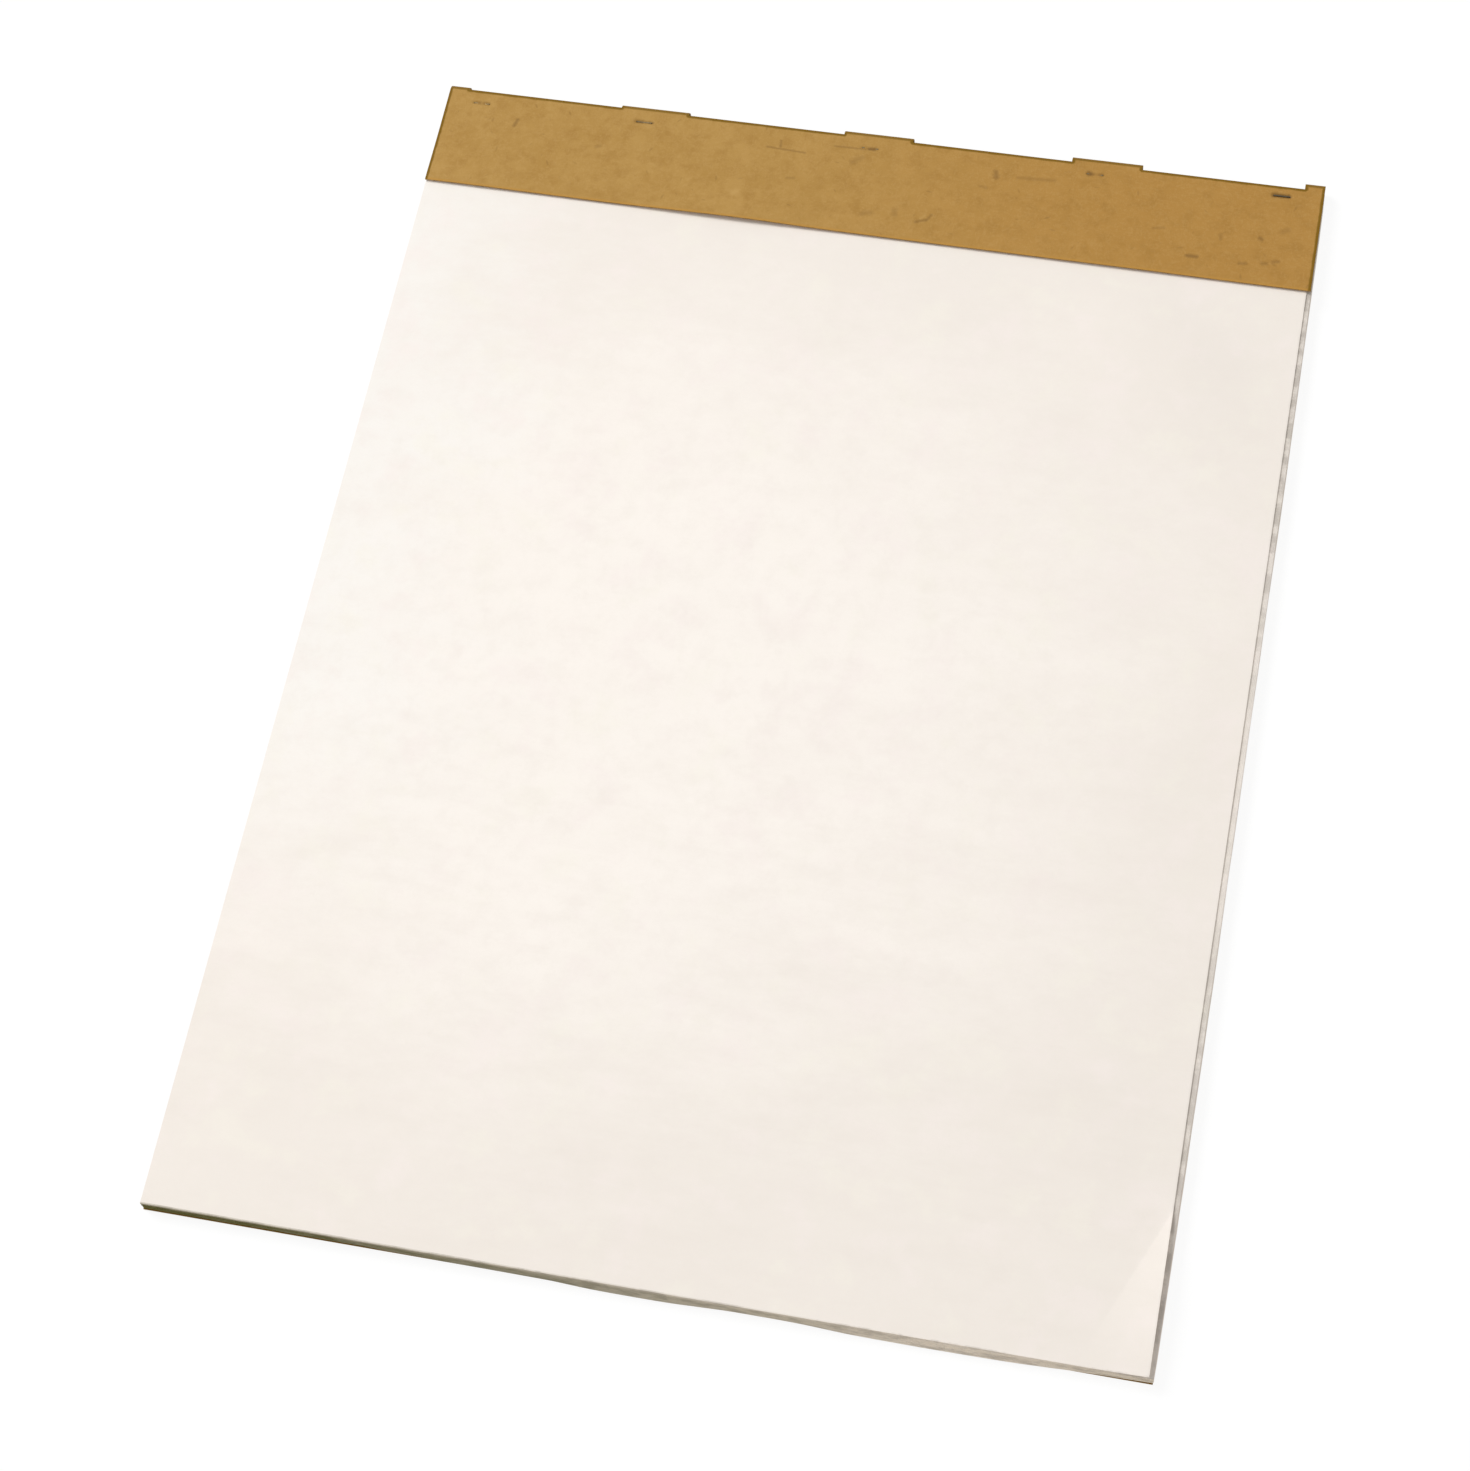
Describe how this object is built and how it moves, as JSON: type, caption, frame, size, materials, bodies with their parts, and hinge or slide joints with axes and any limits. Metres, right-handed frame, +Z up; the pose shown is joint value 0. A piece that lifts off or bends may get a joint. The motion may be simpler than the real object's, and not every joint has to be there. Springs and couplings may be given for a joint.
{
  "type": "flip chart pad",
  "caption": "Large blank flip chart pad: a block of white sheets held by a folded kraft board with a stapled header flap and short straps round the top.",
  "frame": {"origin": "centre of the pad's outline at the level of the surface it lies on, under the kraft back", "axes": "+X to the right and +Y towards the stapled header as the pad is read, +Z up out of the top sheet"},
  "size_m": [0.686, 0.927, 0.0157],
  "materials": {
    "kraft_board": "matte",
    "white_paper": "matte",
    "staple_wire": "satin"
  },
  "bodies": {
    "root": {"wrap_board": "kraft_board", "sheet_block": "white_paper", "staples": "staple_wire"}
  },
  "joints": []
}
